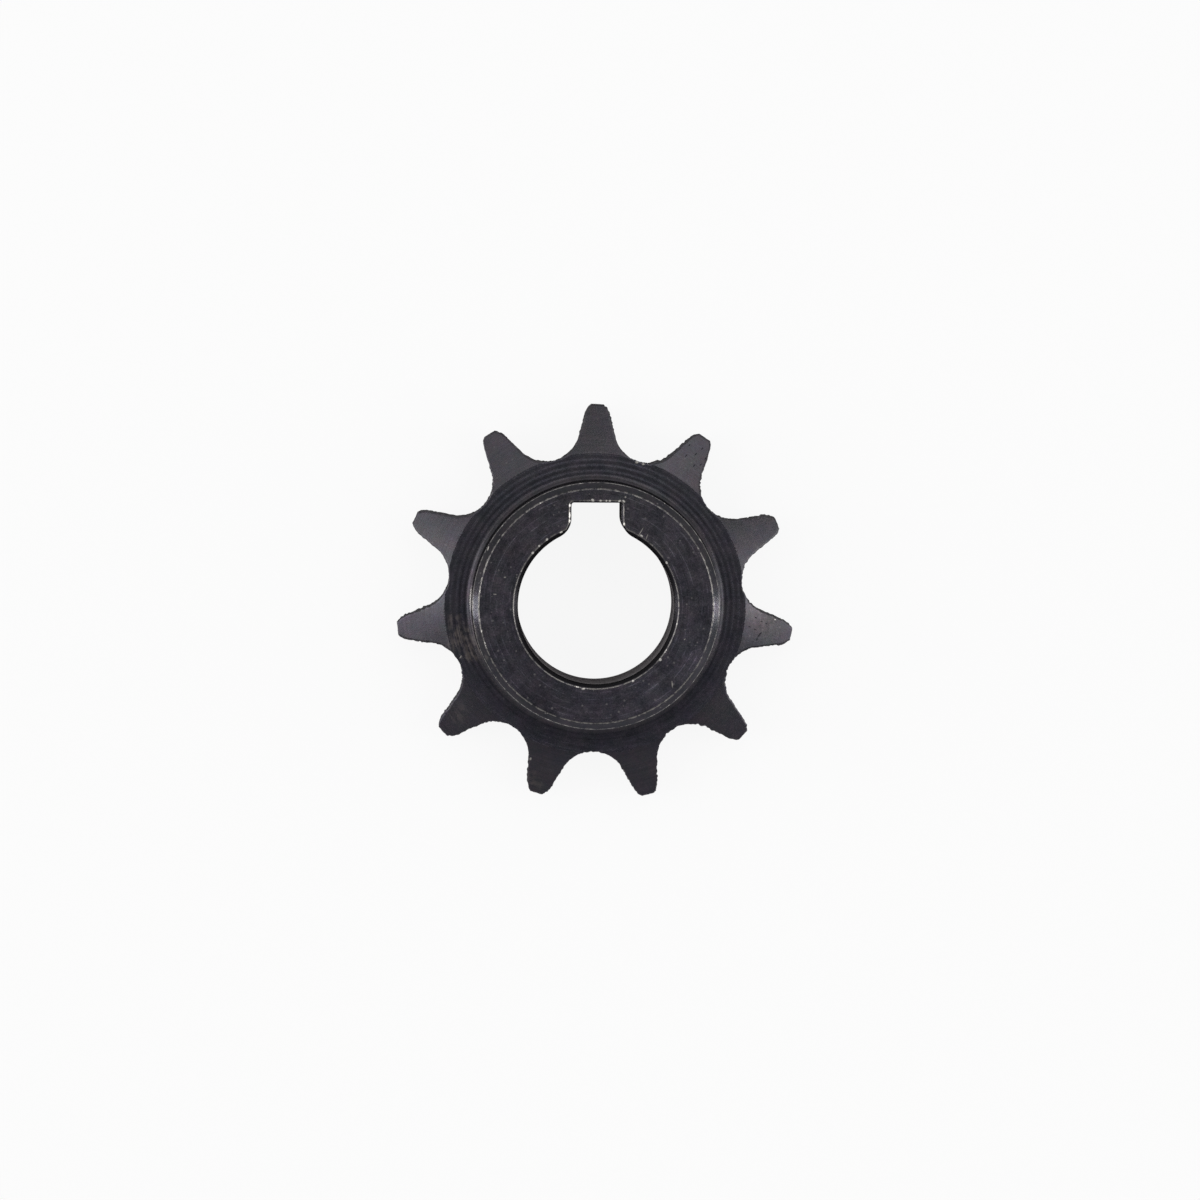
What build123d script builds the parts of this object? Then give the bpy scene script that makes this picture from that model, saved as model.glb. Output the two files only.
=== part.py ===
"""Chain sprocket with eleven teeth for 1/2 x 5/16 inch (08B) roller chain.

One machined piece: a turned blank with a toothed plate and a short hub on one
side, tooth gaps cut across the plate, and a keyed bore through both.

Frame, in millimetres: the origin is on the bore axis, in the middle of the
plate's thickness, which is the plane that the chain runs in. +Z points from
the plate to the hub, and +Y points to the keyway, which a tooth stands over.
"""
import os
from math import hypot, pi, radians, sin, tan

from build123d import *

os.makedirs("parts", exist_ok=True)

# Chain
chain_pitch = 12.7
roller_diameter = 8.51
teeth = 11

# Toothed plate
plate_thickness = 7.2
tip_diameter = 49.1
ring_width = 2.6  # flat ring between the hub's foot and the tooth bevels
bevel_angle = 15.0  # slope of the tooth sides, from the plane of the plate

# Tooth gap: a round seat, and on each side a straight flank and a round tooth head
seat_clearance = 0.04  # added to half the roller
flank_angle = 59.3  # how far round the seat its flanks start, from the bottom
flank_length = 2.8
head_radius = 2.6

# Bore and keyway
bore_diameter = 19.0
bore_chamfer = 0.6
keyway_width = 6.0
keyway_depth = 3.1  # from the bore's wall, on the keyway's centre line
keyway_corner = 0.3
mouth_radius = 2.6  # rounding where the keyway opens into the bore
edge_break = 0.3  # small bevel round the keyway at both faces

# Hub
hub_wall = 2.2  # left outside the corners of the keyway
hub_height = 7.8
hub_chamfer = 0.8
foot_fillet = 0.8  # inside corner between the hub and the plate

# Worked out from the sizes above
pitch_radius = chain_pitch / (2 * sin(pi / teeth))
seat_radius = roller_diameter / 2 + seat_clearance
tip_radius = tip_diameter / 2
bore_radius = bore_diameter / 2
countersink_radius = bore_radius + bore_chamfer
keyway_top = bore_radius + keyway_depth
hub_radius = hypot(keyway_width / 2, keyway_top) + hub_wall
rim_radius = hub_radius + foot_fillet + ring_width
bevel_depth = (tip_radius - rim_radius) * tan(radians(bevel_angle))
back_face = -plate_thickness / 2
plate_face = plate_thickness / 2
hub_face = plate_face + hub_height
overall_length = hub_face - back_face
half_step = 180 / teeth  # angle from a tooth to the gap beside it

# Outline of one tooth gap, with its roller's centre at the origin and the bore towards -X.
# Past the tooth heads it widens to the middle of the teeth, where it meets the next gap's.
with BuildSketch() as gap:
    with BuildLine():
        seat = JernArc((-seat_radius, 0), (0, 1), seat_radius, -flank_angle)
        flank = PolarLine(seat @ 1, flank_length, direction=seat % 1)
        head = JernArc(flank @ 1, flank % 1, head_radius, flank_angle)
        outside = tip_radius
        tooth_middle = (pitch_radius + outside) * tan(radians(half_step))
        Polyline(head @ 1, (outside, tooth_middle), (outside, 0))
        mirror(about=Plane.XZ)
    make_face()

with BuildPart() as sprocket:
    # Turned blank: half section through the plate and the hub, the hub's outer corner cut off
    with BuildSketch(Plane.XZ):
        Polygon(
            (0, back_face),
            (rim_radius, back_face),
            (tip_radius, back_face + bevel_depth),
            (tip_radius, plate_face - bevel_depth),
            (rim_radius, plate_face),
            (hub_radius, plate_face),
            (hub_radius, hub_face - hub_chamfer),
            (hub_radius - hub_chamfer, hub_face),
            (0, hub_face),
            align=None,
        )
    revolve(axis=Axis.Z)

    # Fillet at the hub's foot, the lower of the two circles round the hub's side
    hub_side = faces().filter_by(GeomType.CYLINDER).sort_by(Axis.Z)[-1]
    fillet(hub_side.edges().filter_by(GeomType.CIRCLE).sort_by(Axis.Z)[0], radius=foot_fillet)

    # Tooth gaps, cut across the plate
    with BuildSketch(Plane.XY.offset(back_face)):
        with PolarLocations(pitch_radius, teeth, start_angle=90 + half_step):
            add(gap.sketch)
    extrude(amount=plate_thickness, mode=Mode.SUBTRACT)

    # Keyed hole, with the keyway's mouth rounded into the bore
    with BuildSketch(Plane.XY.offset(back_face)):
        Circle(bore_radius)
        Rectangle(keyway_width, keyway_top, align=(Align.CENTER, Align.MIN))
        fillet(vertices().group_by(Axis.Y)[-2], radius=mouth_radius)
        fillet(vertices().group_by(Axis.Y)[-1], radius=keyway_corner)
    extrude(amount=overall_length, mode=Mode.SUBTRACT)

    # Edges of the keyed hole broken at both faces
    end_faces = faces().filter_by(GeomType.PLANE).sort_by(Axis.Z)
    rims = [end_face.inner_wires()[0].edges() for end_face in (end_faces[0], end_faces[-1])]
    chamfer(rims[0] + rims[1], length=edge_break)

    # Turned bore, with a wider chamfer at each end
    with BuildSketch(Plane.XZ):
        Polygon(
            (0, back_face),
            (countersink_radius, back_face),
            (bore_radius, back_face + bore_chamfer),
            (bore_radius, hub_face - bore_chamfer),
            (countersink_radius, hub_face),
            (0, hub_face),
            align=None,
        )
    revolve(axis=Axis.Z, mode=Mode.SUBTRACT)

sprocket.part.label = "sprocket"
export_step(sprocket.part, "parts/sprocket.step")
print("pitch radius", round(pitch_radius, 3), "root radius", round(pitch_radius - seat_radius, 3))
print("hub face", hub_face, "volume mm3", round(sprocket.part.volume, 1))
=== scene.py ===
# %% [markdown]
# # A blackened steel chain sprocket
# A sprocket drives a roller chain, or is driven by it. This one is a single piece of steel: a
# plate with eleven teeth, and on it a short hub round a keyed bore. It was turned on a lathe,
# its tooth gaps were cut across the plate and its keyway along the bore, and it was blackened.
#
# The CAD model says how big everything is. Its edges are perfect, so this lesson builds the same
# shape again with what the tools and the shelf leave: turned rings, broken edges, ragged tooth
# gaps, and a black skin that is rubbed through where the piece is touched.

from math import acos, atan2, cos, hypot, pi, radians, sin, tan

import bmesh
import bpy
from mathutils import Matrix, Vector, noise


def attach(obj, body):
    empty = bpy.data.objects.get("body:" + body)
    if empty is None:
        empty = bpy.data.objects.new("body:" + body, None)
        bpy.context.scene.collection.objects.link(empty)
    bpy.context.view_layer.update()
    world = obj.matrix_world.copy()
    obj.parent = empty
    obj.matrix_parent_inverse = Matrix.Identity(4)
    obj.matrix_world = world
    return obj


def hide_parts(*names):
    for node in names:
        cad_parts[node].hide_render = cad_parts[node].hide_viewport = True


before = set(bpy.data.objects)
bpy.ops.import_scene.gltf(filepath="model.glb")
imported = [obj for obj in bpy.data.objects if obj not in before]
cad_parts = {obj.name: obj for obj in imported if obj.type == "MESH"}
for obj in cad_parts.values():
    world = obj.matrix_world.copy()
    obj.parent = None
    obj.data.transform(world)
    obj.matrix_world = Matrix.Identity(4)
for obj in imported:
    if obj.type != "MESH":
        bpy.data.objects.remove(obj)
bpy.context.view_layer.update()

# %% [markdown]
# ## The drawing
# A maker's drawing of a sprocket starts from the chain. Its pitch and the number of teeth give
# the pitch circle, on which the rollers' centres lie, and its roller gives the seat between two
# teeth. The same sizes stand here in millimetres, so that the outline can be drawn with arcs and
# straight lines as on the drawing. One scale to Blender's metres at the end is easier than a
# thousandth in every size.

# %% The chain and the teeth, in millimetres
chain_pitch, roller_diameter, teeth = 12.7, 8.51, 11
seat_clearance = 0.04
flank_angle, flank_length, head_radius = radians(59.3), 2.8, 2.6
tip_radius = 24.55

pitch_radius = chain_pitch / (2 * sin(pi / teeth))
seat_radius = roller_diameter / 2 + seat_clearance
half_step = pi / teeth
print("pitch radius", round(pitch_radius, 3), "and seat radius", round(seat_radius, 3))

# %% The plate, the hub, the bore and the keyway
plate_half, hub_face = 3.6, 11.4
bore_radius, bore_chamfer, edge_break = 9.5, 0.6, 0.3
keyway_half, keyway_top, keyway_corner, mouth_radius = 3.0, 12.6, 0.3, 2.6
hub_wall, hub_chamfer, foot_fillet, ring_width = 2.2, 0.8, 0.8, 2.6
bevel_slope = tan(radians(15))

hub_radius = hypot(keyway_half, keyway_top) + hub_wall
flat_radius, shoulder = hub_radius - hub_chamfer, hub_face - hub_chamfer
foot_radius = hub_radius + foot_fillet
rim_radius = foot_radius + ring_width
print("hub radius", round(hub_radius, 3), "and rim of the ring", round(rim_radius, 3))

# %% The hole as it is now
# The walls of the hole have worn back and the keyway leans a little. Its rims are where they
# were, so the chamfer and the edge break are narrower by as much.
hole_wear, keyway_lean = 0.07, radians(0.5)
bore_radius, bore_chamfer = bore_radius + hole_wear, bore_chamfer - hole_wear
keyway_half, keyway_top = keyway_half + hole_wear, keyway_top + hole_wear
edge_break = edge_break - hole_wear
print("bore radius", bore_radius, "and keyway width", round(2 * keyway_half, 2))

# %% [markdown]
# ## The outline of the teeth
# A tooth gap is a round seat for the roller, a straight flank on each side, and a round head
# that leads the chain in. Half a gap is drawn from one vertex: a spin makes an arc, and
# extruded vertices make a straight. A mirror and a spin of copies then give all eleven teeth.
# A disc with eleven booleans would have the same outline, but its mesh would have no rows that
# run along the edge, and the worn edges need those.

# %% A pen that draws with spins and extrudes
def arc(bm, corner, centre, angle, steps):
    made = bmesh.ops.spin(bm, geom=[corner], cent=(*centre, 0), axis=(0, 0, 1), angle=angle,
                          steps=steps, use_merge=False)["geom_last"]
    return next(part for part in made if isinstance(part, bmesh.types.BMVert))


def straight(bm, corner, way, steps):
    for _ in range(steps):
        place = corner.co + Vector((*way, 0)) / steps
        corner = bmesh.ops.extrude_vert_indiv(bm, verts=[corner])["verts"][0]
        corner.co = place
    return corner


trial = bmesh.new()
arc(trial, trial.verts.new((1, 0, 0)), (0, 0), pi, 8)
print("half a circle in 8 steps has", len(trial.verts), "vertices")
trial.free()

# %% Draw half a gap, then every tooth
seat_steps, flank_steps, head_steps, tip_steps = 26, 20, 10, 4
teeth_weld = 0.01


def draw_teeth(bm):
    seat_end = Vector((-cos(flank_angle), sin(flank_angle))) * seat_radius
    way = Vector((sin(flank_angle), cos(flank_angle)))
    head = Vector((pitch_radius, 0)) + seat_end + way * flank_length
    head += Vector((-way.y, way.x)) * head_radius
    # The head's arc ends where it meets the tip circle, by the rule of cosines.
    reach = (tip_radius**2 - head.length**2 - head_radius**2) / (2 * head.length * head_radius)
    head_sweep = flank_angle + atan2(head.y, head.x) - acos(reach)
    corner = bm.verts.new((pitch_radius - seat_radius, 0, 0))
    corner = arc(bm, corner, (pitch_radius, 0), -flank_angle, seat_steps)
    corner = straight(bm, corner, way * flank_length, flank_steps)
    corner = arc(bm, corner, head, head_sweep, head_steps)
    arc(bm, corner, (0, 0), half_step - atan2(corner.co.y, corner.co.x), tip_steps)
    bmesh.ops.mirror(bm, geom=bm.verts[:] + bm.edges[:], axis="Y", merge_dist=teeth_weld)
    bmesh.ops.spin(bm, geom=bm.verts[:] + bm.edges[:], axis=(0, 0, 1), use_duplicate=True,
                   angle=2 * pi * (teeth - 1) / teeth, steps=teeth - 1)
    bmesh.ops.remove_doubles(bm, verts=bm.verts, dist=teeth_weld)
    # A tooth and not a gap stands over the keyway.
    turn = Matrix.Rotation(pi / 2 + half_step, 3, "Z")
    bmesh.ops.rotate(bm, verts=bm.verts, matrix=turn)


print("steps in half a gap:", seat_steps + flank_steps + head_steps + tip_steps)

# %% [markdown]
# ## The keyed hole
# The bore takes the shaft, and the keyway takes the key that turns with it. A large rounding
# leads from the bore into the keyway. One half is drawn from the middle of the keyway's top,
# down its side, round the mouth and along the bore to the far side, and then mirrored.

# %% Draw the hole
top_steps, corner_steps, side_steps, mouth_steps, bore_steps = 14, 3, 8, 14, 126
hole_weld = 0.001


def draw_hole(bm):
    mouth = Vector((keyway_half + mouth_radius, 0))
    mouth.y = ((bore_radius + mouth_radius)**2 - mouth.x**2)**0.5
    corner = bm.verts.new((0, keyway_top, 0))
    corner = straight(bm, corner, (keyway_half - keyway_corner, 0), top_steps)
    corner_centre = (corner.co.x, keyway_top - keyway_corner)
    corner = arc(bm, corner, corner_centre, -pi / 2, corner_steps)
    corner = straight(bm, corner, (0, mouth.y - corner.co.y), side_steps)
    corner = arc(bm, corner, mouth, atan2(mouth.y, mouth.x), mouth_steps)
    arc(bm, corner, (0, 0), -pi / 2 - atan2(corner.co.y, corner.co.x), bore_steps)
    bmesh.ops.mirror(bm, geom=bm.verts[:] + bm.edges[:], axis="X", merge_dist=hole_weld)
    bmesh.ops.remove_doubles(bm, verts=bm.verts, dist=hole_weld)
    bmesh.ops.rotate(bm, verts=bm.verts, matrix=Matrix.Rotation(keyway_lean, 3, "Z"))


print("steps in half the hole:", top_steps + corner_steps + side_steps + mouth_steps + bore_steps)

# %% [markdown]
# ## Walking along the section
# A lathe shapes a blank along one section line. Here an outline is extruded again and again,
# and each new ring of vertices moves to the next point of that section. Every vertex remembers
# its place on the outline and the way into the metal, in two layers that an extrude copies, so
# a rule can say how far in and how high the next ring lies. A third layer keeps how worn a
# place is, and the material reads it later. A solid with bevelled edges would be quicker, but
# its edges would all be equally sharp and clean.

# %% A bmesh that remembers where each vertex began
def start(draw, metal):
    """metal is 1 where the metal is inside the outline, and -1 where it is outside."""
    bm = bmesh.new()
    home = bm.verts.layers.float_vector.new("home")
    inward = bm.verts.layers.float_vector.new("inward")
    bm.verts.layers.float.new("worn")
    draw(bm)
    ring = sorted(bm.verts, key=lambda vert: atan2(vert.co.y, vert.co.x))
    for before, vert, after in zip(ring[-1:] + ring[:-1], ring, ring[1:] + ring[:1]):
        along = (after.co - vert.co).normalized() + (vert.co - before.co).normalized()
        vert[home] = vert.co
        vert[inward] = Vector((-along.y, along.x, 0)).normalized() * metal
    return bm


trial = start(draw_hole, -1)
print("the hole's outline:", len(trial.verts), "vertices")
trial.free()

# %% A walk along the section
oxide, cut = 0, 1  # material slots: the turned and blackened faces, and the walls cut later


def walk(bm, loop, rows, finish=oxide):
    """Extrudes a loop of edges once for each row, a rule for its place and how worn it is."""
    home, inward = (bm.verts.layers.float_vector[name] for name in ("home", "inward"))
    worn = bm.verts.layers.float["worn"]
    for place, wear in rows:
        made = bmesh.ops.extrude_edge_only(bm, edges=loop)["geom"]
        loop = [part for part in made if isinstance(part, bmesh.types.BMEdge)]
        for part in made:
            if isinstance(part, bmesh.types.BMVert):
                part.co = place(part[home], part[inward])
                part[worn] = wear
            elif isinstance(part, bmesh.types.BMFace):
                part.material_index = finish
    return loop


print("slot", oxide, "is turned and blackened, slot", cut, "is cut")

# %% [markdown]
# ## The toothed plate
# The plate's faces are turned: a flat ring beside the hub with the fine rings of the tool, and
# outside it a cone that narrows the teeth, so that the chain finds them. The gaps were cut
# after that, and the cutter chattered and left burrs, so their edges are ragged while the
# turned tips are smooth. Noise read at a place's own coordinates gives the same edge each run.

# %% How ragged the cut edges are
ragged_per_mm, chatter_per_mm, burrs_per_mm = 0.35, 1.0, 3.1
chatter_size, burr_size, ragged_burr_size, edge_growth = 0.05, 0.04, 0.17, 0.045
burr_at, burr_reach = Vector((6.9, 17.3)), 1.6
tip_band = 0.2


def noise_at(place, per_mm, layer):
    return noise.noise(Vector((place.x * per_mm, place.y * per_mm, layer)))


def ripple(place, height):
    """How far chatter and burrs set the tooth edge in, in mm, or out where it is negative."""
    ragged = min(1.0, max(0.2, 0.5 + 1.2 * noise_at(place, ragged_per_mm, 5)))
    ragged += max(0.0, 1 - (place.xy - burr_at).length / burr_reach)
    if place.xy.length > tip_radius - tip_band:
        ragged = 0.1
    chatter = chatter_size * noise_at(place, chatter_per_mm, height * 0.15)
    burr = burr_size + ragged_burr_size * ragged
    return chatter + burr * noise_at(place, burrs_per_mm, height * 0.5 + 7) - edge_growth


seat_bottom = Vector((0, seat_radius - pitch_radius, 0))
print("the seat opposite the keyway is set in by", round(ripple(seat_bottom, 0), 3), "mm")

# %% The turned rings, and any place on the plate
# Real turned rings are a few microns deep. These are deeper, so that they show at this size.
groove_pitch, groove_depth, groove_start, groove_margin = 0.7, 0.0155, 16.43, 0.1


def turned(radius):
    """How deep the turning tool's rings are at this radius."""
    if not foot_radius + groove_margin < radius < rim_radius - groove_margin:
        return groove_depth
    return groove_depth * (1 + sin(2 * pi * (radius - groove_start) / groove_pitch))


def on_plate(place, side, depth=0.0):
    """This place on the plate's top (side 1) or back (side -1), at a depth under its face."""
    radius = place.xy.length
    drop = max(0.0, radius - rim_radius) * bevel_slope
    if side > 0 and radius < rim_radius:
        drop += turned(radius)
    return Vector((place.x, place.y, side * (plate_half - drop - depth)))


at_tip = on_plate(Vector((0, tip_radius, 0)), 1)
print("the teeth are", round(2 * at_tip.z, 2), "mm thick at their tips")

# %% Rules for the rows on the plate
edge_inset = 0.2


def tooth_edge(side, rows):
    """Rows down the tooth's wall and round its edge, from their insets, depths and wear."""
    def row(inset, depth):
        def place(home, inward):
            set_back = 0
            if inset < edge_inset:
                set_back = ripple(home, side * (plate_half - depth))
            return on_plate(home + inward * (inset + set_back), side, depth)
        return place
    return [(row(inset, depth), wear) for inset, depth, wear in rows]


def towards(side, outer_circle, inner_circle, share_in):
    """A row this share of the way in, from the teeth or the outer circle to the inner one."""
    def place(home, inward):
        begin = home + inward * edge_inset
        outer = min(outer_circle, begin.length)
        inner = min(inner_circle, outer)
        return on_plate(begin * ((outer + (inner - outer) * share_in) / begin.length), side)
    return place


def circle(radius, height):
    """A row that is a true circle at this height."""
    def place(home, inward):
        begin = home + inward * edge_inset
        return begin * (radius / begin.length) + Vector((0, 0, height))
    return place


print("the teeth's edges are ragged up to", edge_inset, "mm in")

# %% Walk over the top of the plate
wall_rows = [(0, 1.9, 0), (0, 0.8, 0), (0, 0.28, 0), (0, 0.1, 0.1), (0.03, 0.03, 0.5)]
rim_rows = [(0.1, 0, 0.35), (edge_inset, 0, 0)]
top_bevel_shares = (0.2, 0.4, 0.6, 0.8, 0.93, 0.985, 1)
ring_rows = 20
ring_shares = [0.01] + [(n + 1) / ring_rows for n in range(ring_rows)]

shell = start(draw_teeth, 1)
outline = shell.edges[:]
print("teeth drawn with", len(shell.verts), "vertices")
top = walk(shell, outline, tooth_edge(1, wall_rows), cut)
top = walk(shell, top, tooth_edge(1, rim_rows))
top = walk(shell, top, [(towards(1, tip_radius, rim_radius, share), 0)
                        for share in top_bevel_shares])
top = walk(shell, top, [(towards(1, rim_radius, foot_radius, share), 0)
                        for share in ring_shares])
print("top of the plate:", len(shell.faces), "faces")

# %% [markdown]
# ## The hub
# The hub rises from the plate over the small rounding of the lathe tool's nose, and its outer
# corner is chamfered. Close rows at both edges of the chamfer make the tiny round break that
# catches the light, and their wear lets the bare steel show there.

# %% Walk up the hub
fillet_rows = 6
hub_rows = []
for step in range(1, fillet_rows + 1):
    turn = pi / 2 * step / fillet_rows
    hub_rows.append((circle(foot_radius - foot_fillet * sin(turn),
                            plate_half + foot_fillet * (1 - cos(turn))), 0))
hub_middle = 6.5
edge_rows = [  # radius, height, wear
    (hub_radius, hub_middle, 0),
    (hub_radius, shoulder - 0.15, 0),
    (hub_radius, shoulder - 0.06, 0.3),
    (hub_radius - 0.02, shoulder + 0.02, 1),
    (hub_radius - 0.07, shoulder + 0.07, 0.5),
    (hub_radius - 0.18, shoulder + 0.18, 0),
    (flat_radius + 0.22, hub_face - 0.22, 0),
    (flat_radius + 0.1, hub_face - 0.1, 0.5),
    (flat_radius + 0.02, hub_face - 0.03, 1),
    (flat_radius - 0.05, hub_face - 0.005, 0.8),
    (flat_radius - 0.12, hub_face, 0.2),
    (flat_radius - 0.25, hub_face, 0)]
hub_rows += [(circle(radius, height), wear) for radius, height, wear in edge_rows]
walk(shell, top, hub_rows)
print("hub walked in", len(hub_rows), "rows")

# %% [markdown]
# ## The back
# The other side is the same cone, down to a plain flat face, because the hub is on one side
# only. It starts from the same outline as the top, so the two halves share their middle row.

# %% Walk over the back
back_bevel_shares, back_face_shares = (0.3, 0.7, 0.97, 1), (0.06, 0.15)
back = walk(shell, outline, tooth_edge(-1, wall_rows), cut)
back = walk(shell, back, tooth_edge(-1, rim_rows))
back = walk(shell, back, [(towards(-1, tip_radius, rim_radius, share), 0)
                          for share in back_bevel_shares])
walk(shell, back, [(towards(-1, rim_radius, foot_radius, share), 0)
                   for share in back_face_shares])
seam_weld = 0.0005
bmesh.ops.remove_doubles(shell, verts=shell.verts, dist=seam_weld)
print("outer skin:", len(shell.faces), "faces")

# %% [markdown]
# ## The walls of the hole
# The bore has a chamfer at both ends, and the keyway only has its sharp edges taken off. Both
# come from one rule: a row near the end moves out by the edge break, and where that is still
# inside the chamfer's circle it moves out to the circle. So the two meet in the same curve
# that the real tools leave, with no boolean.

# %% Rules for the rows in the hole
def in_hole(depth, side, extra=0.0):
    """A row at this depth from the hub's face (side 1) or the back (side -1)."""
    height = side * ((hub_face if side > 0 else plate_half) - depth)

    def place(home, inward):
        spot = home + inward * (max(0.0, edge_break - depth) + extra)
        least = bore_radius + max(0.0, bore_chamfer - depth) + extra
        if spot.length < least:
            spot = spot * (least / spot.length)
        return Vector((spot.x, spot.y, height))
    return place


# Depth from the end, step outwards and wear of each row, from the middle to the end.
hole_wall_rows = [(3.0, 0, 0), (1.2, 0, 0), (bore_chamfer + 0.15, 0, 0),
                  (bore_chamfer + 0.04, 0, 0), (bore_chamfer, 0.01, 0)]
hole_rim_rows = [(bore_chamfer - 0.08, 0, 0), (0.32, 0, 0), (edge_break, 0, 0), (0.16, 0, 0),
                 (0.08, 0, 0.2), (0.02, 0.02, 1), (0, 0.08, 1), (0, 0.14, 0.2), (0, 0.25, 0)]
print("rows to each end:", len(hole_wall_rows), "in the wall,", len(hole_rim_rows), "at the rim")

# %% Walk to both ends of the hole
bore = start(draw_hole, -1)
hole_outline = bore.edges[:]
for vert in bore.verts:
    vert.co.z = (hub_face - plate_half) / 2
for side in (1, -1):
    end = hole_outline
    for rows, finish in ((hole_wall_rows, cut), (hole_rim_rows, oxide)):
        end = walk(bore, end, [(in_hole(depth, side, extra), wear)
                               for depth, extra, wear in rows], finish)
bmesh.ops.remove_doubles(bore, verts=bore.verts, dist=seam_weld)
print("hole drawn with", len(bore.verts), "vertices")

# %% [markdown]
# ## Joining the two skins
# The outer skin and the hole meet on two flat faces, the hub's end and the back. Each flat lies
# between two closed loops, so it is filled with triangles, which stay flat whatever the loops
# look like. The fill is told the plane's normal, or it fills a sliver twice where a loop runs
# almost straight. After that no edge may be open.

# %% Fill the flats
skin = bpy.data.meshes.new("skin")
bore.to_mesh(skin)
shell.from_mesh(skin)
bore.free()
bpy.data.meshes.remove(skin)
for height in (hub_face, -plate_half):
    rims = [edge for edge in shell.edges
            if edge.is_boundary and abs(edge.verts[0].co.z - height) < 0.1]
    bmesh.ops.triangle_fill(shell, edges=rims, use_beauty=True, normal=(0, 0, 1))
bmesh.ops.recalc_face_normals(shell, faces=shell.faces)
bmesh.ops.scale(shell, vec=(0.001, 0.001, 0.001), verts=shell.verts)
print("open edges:", sum(not edge.is_manifold for edge in shell.edges))

# %% Make the piece, and give it to the frame
# Faces that meet at more than sharp_angle keep a crisp edge, and the others are shaded smooth.
sharp_angle = radians(34)
sprocket_mesh = bpy.data.meshes.new("blackened_sprocket")
shell.to_mesh(sprocket_mesh)
shell.free()
sprocket_mesh.shade_smooth()
sprocket_mesh.set_sharp_from_angle(angle=sharp_angle)
sprocket = bpy.data.objects.new("blackened_sprocket", sprocket_mesh)
bpy.context.scene.collection.objects.link(sprocket)
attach(sprocket, "root")
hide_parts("sprocket")
print("triangles:", sum(len(face.vertices) - 2 for face in sprocket_mesh.polygons))

# %% [markdown]
# ## Tools for the materials
# A material is a tree of small nodes that hand numbers and colours on. Written out in full it
# grows long, so one function adds any node, sets it and joins it. The other helpers only make
# groups of nodes that recur: where a point is, a weighted sum, coats of colour, and marks.
# Patterns follow Object coordinates, which are tied to the mesh and move with the piece.

# %% Colours and nodes
def linear(hex_colour):
    """An sRGB hex colour as the linear numbers that shaders work with."""
    parts = [int(hex_colour[n:n + 2], 16) / 255 for n in (1, 3, 5)]
    return (*[part / 12.92 if part <= 0.04045 else ((part + 0.055) / 1.055)**2.4
              for part in parts], 1)


def node(tree, kind, links=None, **settings):
    """Adds a node with its settings. Links fill its input sockets, each with a plain value or
    with what another node gives out, which is its first output where the node itself is named."""
    made = tree.nodes.new(kind)
    for name, value in settings.items():
        setattr(made, name, value)
    for name, value in (links or {}).items():
        if isinstance(value, bpy.types.Node):
            value = value.outputs[0]
        if isinstance(value, bpy.types.NodeSocket):
            tree.links.new(value, made.inputs[name])
        else:
            made.inputs[name].default_value = value
    return made


def blank_material(name):
    material = bpy.data.materials.new(name)
    material.use_nodes = True
    material.node_tree.nodes.clear()
    return material, material.node_tree


print("mid grey #808080 in linear light:", round(linear("#808080")[0], 3))

# %% Places, sums and coats
mm_per_metre = 1000


def find_place(tree):
    """Where a point is, in mm: the place, its X, Y and Z, the place seen from above, and how
    far from the axis it is."""
    metres = node(tree, "ShaderNodeTexCoord").outputs["Object"]
    in_mm = node(tree, "ShaderNodeMapping", {"Vector": metres, "Scale": (mm_per_metre,) * 3})
    x, y, z = node(tree, "ShaderNodeSeparateXYZ", {0: in_mm}).outputs
    level = node(tree, "ShaderNodeCombineXYZ", {"X": x, "Y": y})
    radius = node(tree, "ShaderNodeVectorMath", {0: level}, operation="LENGTH")
    return in_mm, (x, y, z), level, radius.outputs["Value"]


def weigh(tree, total, parts):
    """Adds patterns to a total, each one times its weight."""
    for pattern, weight in parts:
        total = node(tree, "ShaderNodeMath", {0: pattern, 1: weight, 2: total},
                     operation="MULTIPLY_ADD")
    return total


def overlay(tree, colour, coats):
    """Lays coats of colour over a colour, each one as far as its mask goes from 0 to 1."""
    for mask, coat in coats:
        colour = node(tree, "ShaderNodeMix", {0: mask, 6: colour, 7: coat},
                      data_type="RGBA").outputs[2]
    return colour


print("in a pattern's own units the sprocket is", 2 * tip_radius, "wide")

# %% Marks at given places
mark_rim = 0.45  # a mark reaches its full strength this far in from its skin


def stroke(tree, in_mm, place, angle, length, width, depth=4.0):
    """A thin spindle that lies in the surface: 1 in its middle, and 0 from its skin outwards."""
    there = node(tree, "ShaderNodeMapping", {
        "Vector": in_mm, "Location": place, "Rotation": (0, 0, radians(angle)),
        "Scale": (length / 2, width / 2, depth / 2)}, vector_type="TEXTURE")
    return node(tree, "ShaderNodeTexGradient", {"Vector": there},
                gradient_type="SPHERICAL").outputs["Fac"]


def strokes(tree, in_mm, height, marks, depth=4.0):
    """Many marks at one height, each given by its place, angle, length and width."""
    strongest = 0.0
    for x, y, angle, length, width in marks:
        mark = stroke(tree, in_mm, (x, y, height), angle, length, width, depth)
        strongest = node(tree, "ShaderNodeMath", {0: mark, 1: strongest}, operation="MAXIMUM")
    return node(tree, "ShaderNodeMapRange", {
        "Value": strongest, "From Min": 0.0, "From Max": mark_rim})


print("a mark is at full strength from", mark_rim, "of the way in")

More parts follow.
